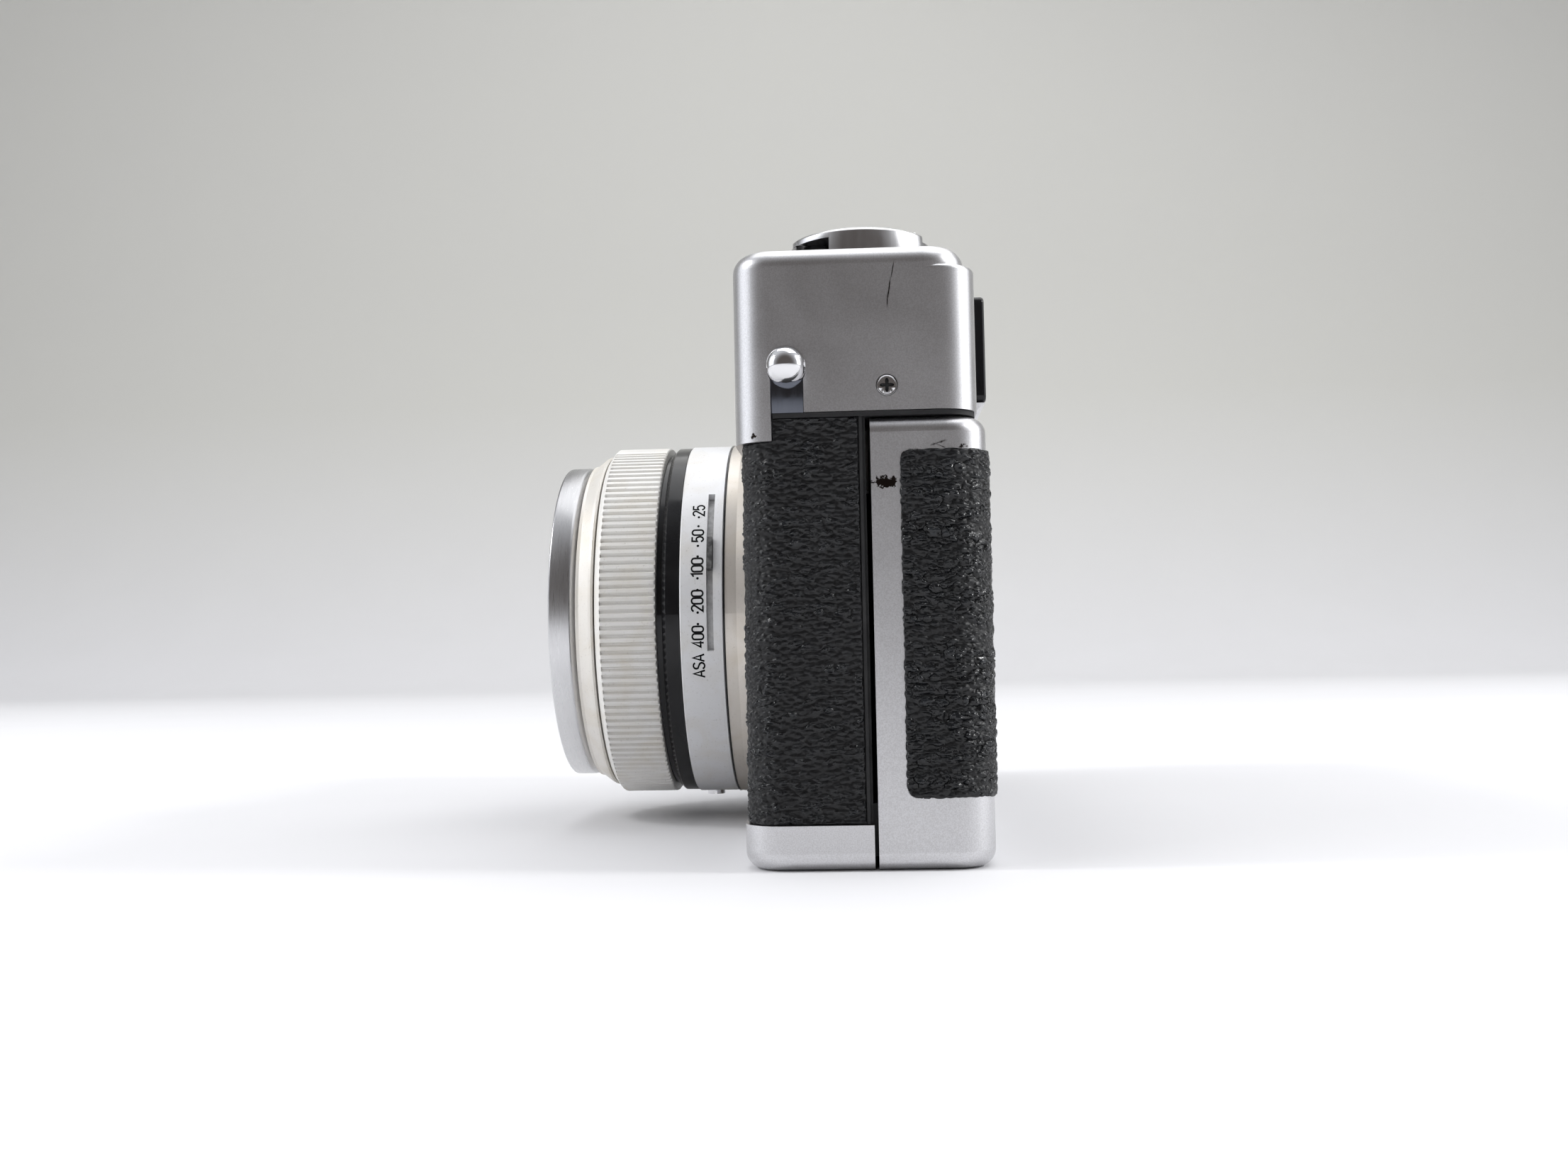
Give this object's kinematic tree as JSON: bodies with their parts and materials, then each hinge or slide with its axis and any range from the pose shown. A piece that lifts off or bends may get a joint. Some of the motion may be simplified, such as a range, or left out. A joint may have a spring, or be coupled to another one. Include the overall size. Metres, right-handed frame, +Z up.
{
  "type": "rangefinder camera",
  "caption": "Compact 35 mm film camera with a fixed lens, coupled rangefinder, hinged back door, film advance lever, folding rewind crank and accessory shoe.",
  "frame": {"origin": "axis of the tripod socket on the base plane", "axes": "+Z up; -Y the way the lens looks; +X towards the rewind knob, which is on the viewer's left"},
  "size_m": [0.1486, 0.0649, 0.0817],
  "materials": {
    "satin_chrome": "satin, fine grained",
    "bright_chrome": "polished",
    "cream_aluminium": "matte anodised",
    "bare_aluminium": "machined",
    "black_enamel": "gloss black",
    "black_casting": "die cast, matt black",
    "leatherette": "grained",
    "black_plastic": "matt",
    "spring_steel": "rolled",
    "brass_parts": "machined",
    "counter_plastic": "matt ivory",
    "optical_glass": "coated",
    "frosted_glass": "frosted"
  },
  "bodies": {
    "camera_body": {"chassis": "black_casting", "film_gate": "black_casting", "gear_plate": "spring_steel", "body_covering": "leatherette", "top_cover": "satin_chrome", "window_panel": "black_enamel", "finder_windows": "optical_glass", "illumination_window": "frosted_glass", "finder_housing": "black_casting", "finder_optics": "optical_glass", "eyepiece_frame": "black_enamel", "eyepiece_lens": "optical_glass", "accessory_shoe": "satin_chrome", "shoe_spring": "spring_steel", "cover_screws": "bright_chrome", "strap_lugs": "bright_chrome", "bottom_cover": "satin_chrome", "tripod_socket": "bright_chrome", "battery": "spring_steel", "hinge_pin": "spring_steel", "counter_window": "optical_glass", "release_collar": "bright_chrome", "lens_collar": "cream_aluminium", "asa_ring": "cream_aluminium", "ring_stud": "bright_chrome", "index_band": "black_enamel", "helicoid_sleeve": "bare_aluminium"},
    "door": {"back_door": "satin_chrome", "door_covering": "leatherette", "pressure_spring": "spring_steel"},
    "film_pad": {"pressure_plate": "black_casting"},
    "spool": {"take_up_spool": "black_plastic"},
    "sprocket_wheel": {"sprocket": "black_plastic"},
    "idler": {"idler_gear": "brass_parts"},
    "wind_lever": {"advance_lever": "satin_chrome", "advance_cap": "bright_chrome"},
    "counter": {"counter_dial": "counter_plastic"},
    "rewind_latch": {"latch_slide": "spring_steel"},
    "rewind_drive": {"rewind_knob": "bright_chrome", "rewind_shaft": "spring_steel"},
    "crank": {"rewind_crank": "bright_chrome"},
    "grip": {"crank_grip": "black_plastic"},
    "release": {"release_button": "bright_chrome"},
    "timer_lever": {"self_timer_lever": "satin_chrome"},
    "film_speed_slider": {"asa_slider": "spring_steel"},
    "focus": {"focus_ring": "cream_aluminium"},
    "lens_unit": {"front_barrel": "cream_aluminium", "filter_ring": "bright_chrome", "name_ring": "black_enamel", "front_element": "optical_glass", "inner_elements": "optical_glass", "lens_tube": "bare_aluminium", "shutter_case": "black_casting"},
    "rewind_release": {"rewind_button": "spring_steel"},
    "battery_cap": {"battery_cover": "spring_steel"},
    "blade_1": {"shutter_blade_1": "spring_steel"},
    "blade_2": {"shutter_blade_2": "spring_steel"},
    "blade_3": {"shutter_blade_3": "spring_steel"},
    "blade_4": {"shutter_blade_4": "spring_steel"},
    "blade_5": {"shutter_blade_5": "spring_steel"}
  },
  "joints": [
    {"name": "door_hinge", "type": "hinge", "parent": "camera_body", "child": "door", "pos_m": [-0.0693, 0.00785, 0.03], "axis": [0, 0, 1], "range_deg": [0, 120]},
    {"name": "pressure_plate_spring", "type": "slide", "parent": "door", "child": "film_pad", "axis": [0, 1, 0], "range_m": [0, 0.0008], "stiffness_N_per_m": 400, "springref_m": -0.004, "deforming": ["pressure_spring"]},
    {"name": "wind_lever_turn", "type": "hinge", "parent": "camera_body", "child": "wind_lever", "pos_m": [-0.0545, 0.0079, 0.0775], "axis": [0, 0, 1], "range_deg": [0, 150], "stiffness_Nm_per_rad": 0.004, "springref_deg": -28.65},
    {"name": "spool_turn", "type": "hinge", "parent": "camera_body", "child": "spool", "pos_m": [-0.0545, 0.0079, 0.03], "axis": [0, 0, 1], "range_deg": [0, 360]},
    {"name": "idler_turn", "type": "hinge", "parent": "camera_body", "child": "idler", "pos_m": [-0.04074, 0.00507, 0.0045], "axis": [0, 0, 1], "range_deg": [-360, 0]},
    {"name": "sprocket_turn", "type": "hinge", "parent": "camera_body", "child": "sprocket_wheel", "pos_m": [-0.028, 0.011, 0.03], "axis": [0, 0, 1], "range_deg": [0, 360]},
    {"name": "counter_turn", "type": "hinge", "parent": "camera_body", "child": "counter", "pos_m": [-0.0154, 0.0015, 0.0734], "axis": [0, 0, 1], "range_deg": [0, 9]},
    {"name": "rewind_lift", "type": "slide", "parent": "camera_body", "child": "rewind_latch", "axis": [0, 0, 1], "range_m": [0, 0.008], "stiffness_N_per_m": 60, "springref_m": -0.01},
    {"name": "rewind_turn", "type": "hinge", "parent": "rewind_latch", "child": "rewind_drive", "pos_m": [0.0545, 0.0079, 0.078], "axis": [0, 0, 1], "continuous": true},
    {"name": "crank_fold", "type": "hinge", "parent": "rewind_drive", "child": "crank", "pos_m": [0.0545, 0.0145, 0.0802], "axis": [-1, 0, 0], "range_deg": [0, 165]},
    {"name": "grip_spin", "type": "hinge", "parent": "crank", "child": "grip", "pos_m": [0.0545, 0.0023, 0.078], "axis": [0, 0, 1], "continuous": true},
    {"name": "shutter_release", "type": "slide", "parent": "camera_body", "child": "release", "axis": [0, 0, -1], "range_m": [0, 0.002], "stiffness_N_per_m": 400, "springref_m": -0.003},
    {"name": "self_timer_turn", "type": "hinge", "parent": "camera_body", "child": "timer_lever", "pos_m": [-0.047, -0.009, 0.027], "axis": [0, 1, 0], "range_deg": [0, 90]},
    {"name": "film_speed_turn", "type": "hinge", "parent": "camera_body", "child": "film_speed_slider", "pos_m": [0, -0.0156, 0.0326], "axis": [0, -1, 0], "range_deg": [-24.5, 17]},
    {"name": "focus_turn", "type": "hinge", "parent": "camera_body", "child": "focus", "pos_m": [0, -0.0285, 0.0326], "axis": [0, 1, 0], "range_deg": [0, 150]},
    {"name": "focus_travel", "type": "slide", "parent": "camera_body", "child": "lens_unit", "axis": [0, -1, 0], "range_m": [0, 0.0025]},
    {"name": "rewind_release_push", "type": "slide", "parent": "camera_body", "child": "rewind_release", "axis": [0, 0, 1], "range_m": [0, 0.0015], "stiffness_N_per_m": 300, "springref_m": -0.003},
    {"name": "battery_cover_turn", "type": "hinge", "parent": "camera_body", "child": "battery_cap", "pos_m": [0.036, 0.0003, 0.0007], "axis": [0, 0, 1], "range_deg": [0, 90]},
    {"name": "blade_1_turn", "type": "hinge", "parent": "lens_unit", "child": "blade_1", "pos_m": [0, -0.0253, 0.0506], "axis": [0, 1, 0], "range_deg": [0, 33]},
    {"name": "blade_2_turn", "type": "hinge", "parent": "lens_unit", "child": "blade_2", "pos_m": [-0.01712, -0.0253, 0.03816], "axis": [0, 1, 0], "range_deg": [0, 33]},
    {"name": "blade_3_turn", "type": "hinge", "parent": "lens_unit", "child": "blade_3", "pos_m": [-0.01058, -0.0253, 0.01804], "axis": [0, 1, 0], "range_deg": [0, 33]},
    {"name": "blade_4_turn", "type": "hinge", "parent": "lens_unit", "child": "blade_4", "pos_m": [0.01058, -0.0253, 0.01804], "axis": [0, 1, 0], "range_deg": [0, 33]},
    {"name": "blade_5_turn", "type": "hinge", "parent": "lens_unit", "child": "blade_5", "pos_m": [0.01712, -0.0253, 0.03816], "axis": [0, 1, 0], "range_deg": [0, 33]}
  ],
  "couplings": [
    {"joint": "spool_turn", "follows": "wind_lever_turn", "ratio": 2.4},
    {"joint": "sprocket_turn", "follows": "wind_lever_turn", "ratio": 2.4},
    {"joint": "idler_turn", "follows": "wind_lever_turn", "ratio": -2.4},
    {"joint": "counter_turn", "follows": "wind_lever_turn", "ratio": 0.06},
    {"joint": "focus_travel", "follows": "focus_turn", "m_per_rad": 0.00095493},
    {"joint": "blade_2_turn", "follows": "blade_1_turn", "ratio": 1},
    {"joint": "blade_3_turn", "follows": "blade_1_turn", "ratio": 1},
    {"joint": "blade_4_turn", "follows": "blade_1_turn", "ratio": 1},
    {"joint": "blade_5_turn", "follows": "blade_1_turn", "ratio": 1}
  ]
}
